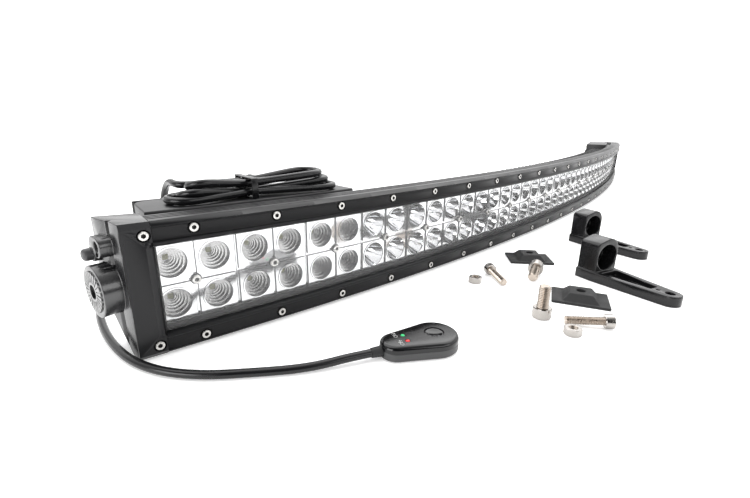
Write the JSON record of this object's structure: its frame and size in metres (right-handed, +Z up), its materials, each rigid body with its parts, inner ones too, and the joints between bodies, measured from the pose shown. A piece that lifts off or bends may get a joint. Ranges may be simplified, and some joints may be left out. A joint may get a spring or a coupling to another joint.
{
  "type": "led light bar",
  "caption": "Curved dual-row LED light bar with chrome flood and spot optics, finned back, end bosses, a wired push-button pod and loose brackets, pads and screws.",
  "frame": {"origin": "middle of the bar's flat underside, at mid-length", "axes": "+X along the bar to its right end as seen from its lit side, +Y towards its finned back, +Z up"},
  "size_m": [1.2518, 0.3603, 0.0972],
  "materials": {
    "housing_black": "black anodised and powder-coated aluminium",
    "bezel_black": "satin black anodised aluminium",
    "bracket_black": "gloss black powder coat on cast aluminium",
    "lens_clear": "clear polycarbonate",
    "reflector_chrome": "vacuum-metallised plastic",
    "stainless": "stainless steel",
    "board_white": "white solder mask",
    "emitter_yellow": "phosphor",
    "circuit_green": "green circuit board",
    "rubber_black": "matt rubber",
    "jacket_black": "black cable jacket",
    "switch_black": "gloss black",
    "switch_grey": "dark grey",
    "lamp_green": "green lens",
    "lamp_red": "red lens"
  },
  "bodies": {
    "light_bar": {"housing": "housing_black", "heat_sink": "housing_black", "top_bezel": "bezel_black", "bottom_bezel": "bezel_black", "left_end_bezel": "bezel_black", "right_end_bezel": "bezel_black", "left_end_cap": "housing_black", "right_end_cap": "housing_black", "left_tooth_washer": "stainless", "right_tooth_washer": "stainless", "vent_plug": "rubber_black", "lens": "lens_clear", "lens_gasket": "rubber_black", "flood_reflectors": "reflector_chrome", "spot_reflectors": "reflector_chrome", "reflector_screws": "stainless", "led_boards": "board_white", "led_emitters": "emitter_yellow", "bezel_screws": "stainless", "end_bezel_screws": "stainless", "left_driver_box": "housing_black", "right_driver_box": "housing_black", "left_driver_cover": "housing_black", "right_driver_cover": "housing_black", "driver_cover_screws": "stainless", "left_driver_board": "circuit_green", "right_driver_board": "circuit_green", "cable_gland": "rubber_black", "harness_pigtail": "jacket_black", "harness_hank": "jacket_black", "hank_tie": "jacket_black", "switch_lead": "jacket_black", "switch_strain_relief": "rubber_black", "switch_base": "switch_grey", "switch_cover": "switch_black", "switch_board": "circuit_green", "tact_switch": "switch_grey", "on_indicator": "lamp_green", "off_indicator": "lamp_red"},
    "button": {"power_button": "switch_black"},
    "left_bracket_piece": {"left_bracket": "bracket_black"},
    "right_bracket_piece": {"right_bracket": "bracket_black"},
    "left_pad_piece": {"left_pad": "rubber_black"},
    "right_pad_piece": {"right_pad": "rubber_black"},
    "foot_bolt_1_piece": {"foot_bolt_1": "stainless"},
    "foot_bolt_2_piece": {"foot_bolt_2": "stainless"},
    "boss_bolt_1_piece": {"boss_bolt_1": "stainless"},
    "boss_bolt_2_piece": {"boss_bolt_2": "stainless"},
    "foot_nut_1_piece": {"foot_nut_1": "stainless"},
    "foot_nut_2_piece": {"foot_nut_2": "stainless"}
  },
  "joints": [
    {"name": "button_press", "type": "slide", "parent": "light_bar", "child": "button", "axis": [0, 0, -1], "range_m": [0, 0.001], "stiffness_N_per_m": 800, "springref_m": -0.0004},
    {"name": "left_bracket_lift", "type": "slide", "parent": "light_bar", "child": "left_bracket_piece", "axis": [0, 0, 1], "range_m": [0, 0.08]},
    {"name": "right_bracket_lift", "type": "slide", "parent": "light_bar", "child": "right_bracket_piece", "axis": [0, 0, 1], "range_m": [0, 0.08]},
    {"name": "left_pad_lift", "type": "slide", "parent": "light_bar", "child": "left_pad_piece", "axis": [0, 0, 1], "range_m": [0, 0.08]},
    {"name": "right_pad_lift", "type": "slide", "parent": "light_bar", "child": "right_pad_piece", "axis": [0, 0, 1], "range_m": [0, 0.08]},
    {"name": "foot_bolt_1_lift", "type": "slide", "parent": "light_bar", "child": "foot_bolt_1_piece", "axis": [0, 0, 1], "range_m": [0, 0.08]},
    {"name": "foot_bolt_2_lift", "type": "slide", "parent": "light_bar", "child": "foot_bolt_2_piece", "axis": [0, 0, 1], "range_m": [0, 0.08]},
    {"name": "boss_bolt_1_lift", "type": "slide", "parent": "light_bar", "child": "boss_bolt_1_piece", "axis": [0, 0, 1], "range_m": [0, 0.08]},
    {"name": "boss_bolt_2_lift", "type": "slide", "parent": "light_bar", "child": "boss_bolt_2_piece", "axis": [0, 0, 1], "range_m": [0, 0.08]},
    {"name": "foot_nut_1_lift", "type": "slide", "parent": "light_bar", "child": "foot_nut_1_piece", "axis": [0, 0, 1], "range_m": [0, 0.08]},
    {"name": "foot_nut_2_lift", "type": "slide", "parent": "light_bar", "child": "foot_nut_2_piece", "axis": [0, 0, 1], "range_m": [0, 0.08]}
  ]
}
